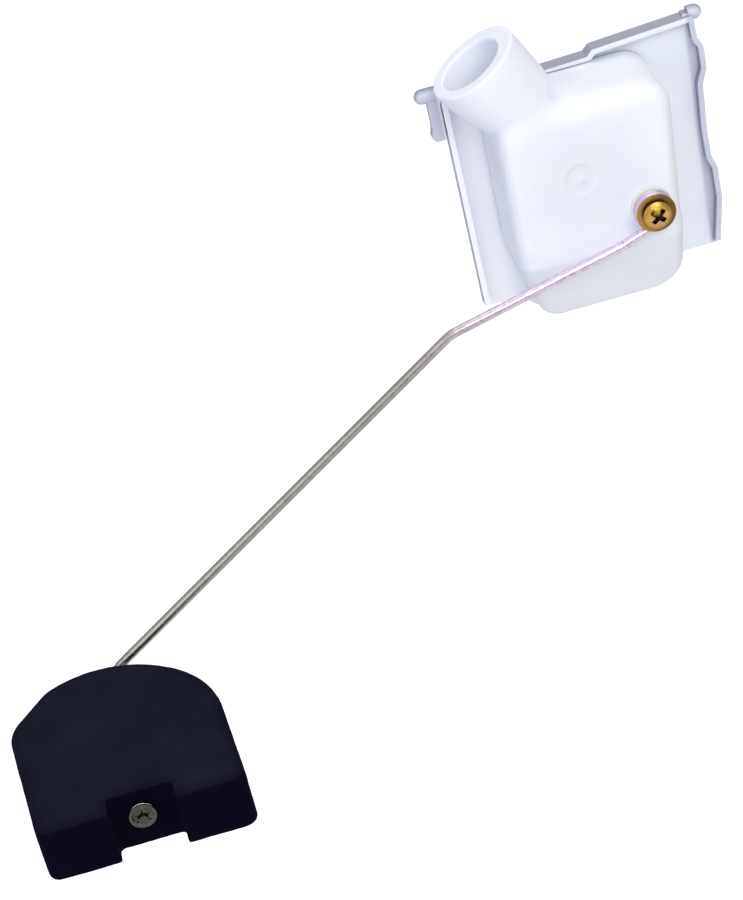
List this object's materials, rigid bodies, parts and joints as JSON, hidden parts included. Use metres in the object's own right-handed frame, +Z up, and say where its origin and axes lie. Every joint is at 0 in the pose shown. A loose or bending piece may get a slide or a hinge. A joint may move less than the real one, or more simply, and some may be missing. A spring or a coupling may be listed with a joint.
{
  "type": "float valve",
  "caption": "Plate-mounted float valve: a foam float on a bent wire arm turns a crank that lifts a plunger against the seat in a leaning inlet spigot.",
  "frame": {"origin": "where the arm's pivot axis meets the mounting plate's flat back face", "axes": "+X right as the valve is faced, +Y back into the wall through the plate, +Z up"},
  "size_m": [0.2133, 0.0943, 0.1477],
  "materials": {
    "clear_plastic": "gloss",
    "white_plastic": "satin",
    "acetal": "satin",
    "silicone": "matte",
    "black_rubber": "matte",
    "brass": "polished",
    "stainless": "satin",
    "zinc_steel": "satin",
    "float_foam": "matte"
  },
  "bodies": {
    "housing": {"mounting_plate": "clear_plastic", "valve_body": "white_plastic", "body_gasket": "silicone", "body_screws": "zinc_steel", "seat_ring": "brass", "seat_oring": "black_rubber", "valve_cage": "acetal", "spindle_bush": "acetal", "spindle_oring": "black_rubber", "rear_bush": "acetal"},
    "arm": {"spindle": "brass", "crank": "acetal", "crank_roll_pin": "stainless", "crank_pin": "stainless", "crank_clip": "stainless", "float_rod": "stainless", "arm_screw": "brass", "arm_washer": "brass", "lock_washer": "zinc_steel", "float_back_collar": "acetal", "float_star_washer": "zinc_steel"},
    "plunger": {"plunger": "acetal", "seat_washer": "black_rubber", "washer_screw": "brass"},
    "float": {"float_block": "float_foam", "float_sleeve": "acetal"}
  },
  "joints": [
    {"name": "arm_pivot", "type": "hinge", "parent": "housing", "child": "arm", "pos_m": [0, -0.014, 0], "axis": [0, 1, 0], "range_deg": [-10, 30]},
    {"name": "plunger_slide", "type": "slide", "parent": "housing", "child": "plunger", "axis": [-0.4617, 0, 0.887], "range_m": [-0.00189, 0.00567]},
    {"name": "float_swivel", "type": "hinge", "parent": "arm", "child": "float", "pos_m": [-0.1602, -0.0642, -0.0881], "axis": [0, 1, 0], "continuous": true}
  ],
  "couplings": [
    {"joint": "plunger_slide", "follows": "arm_pivot", "m_per_rad": 0.01083}
  ]
}
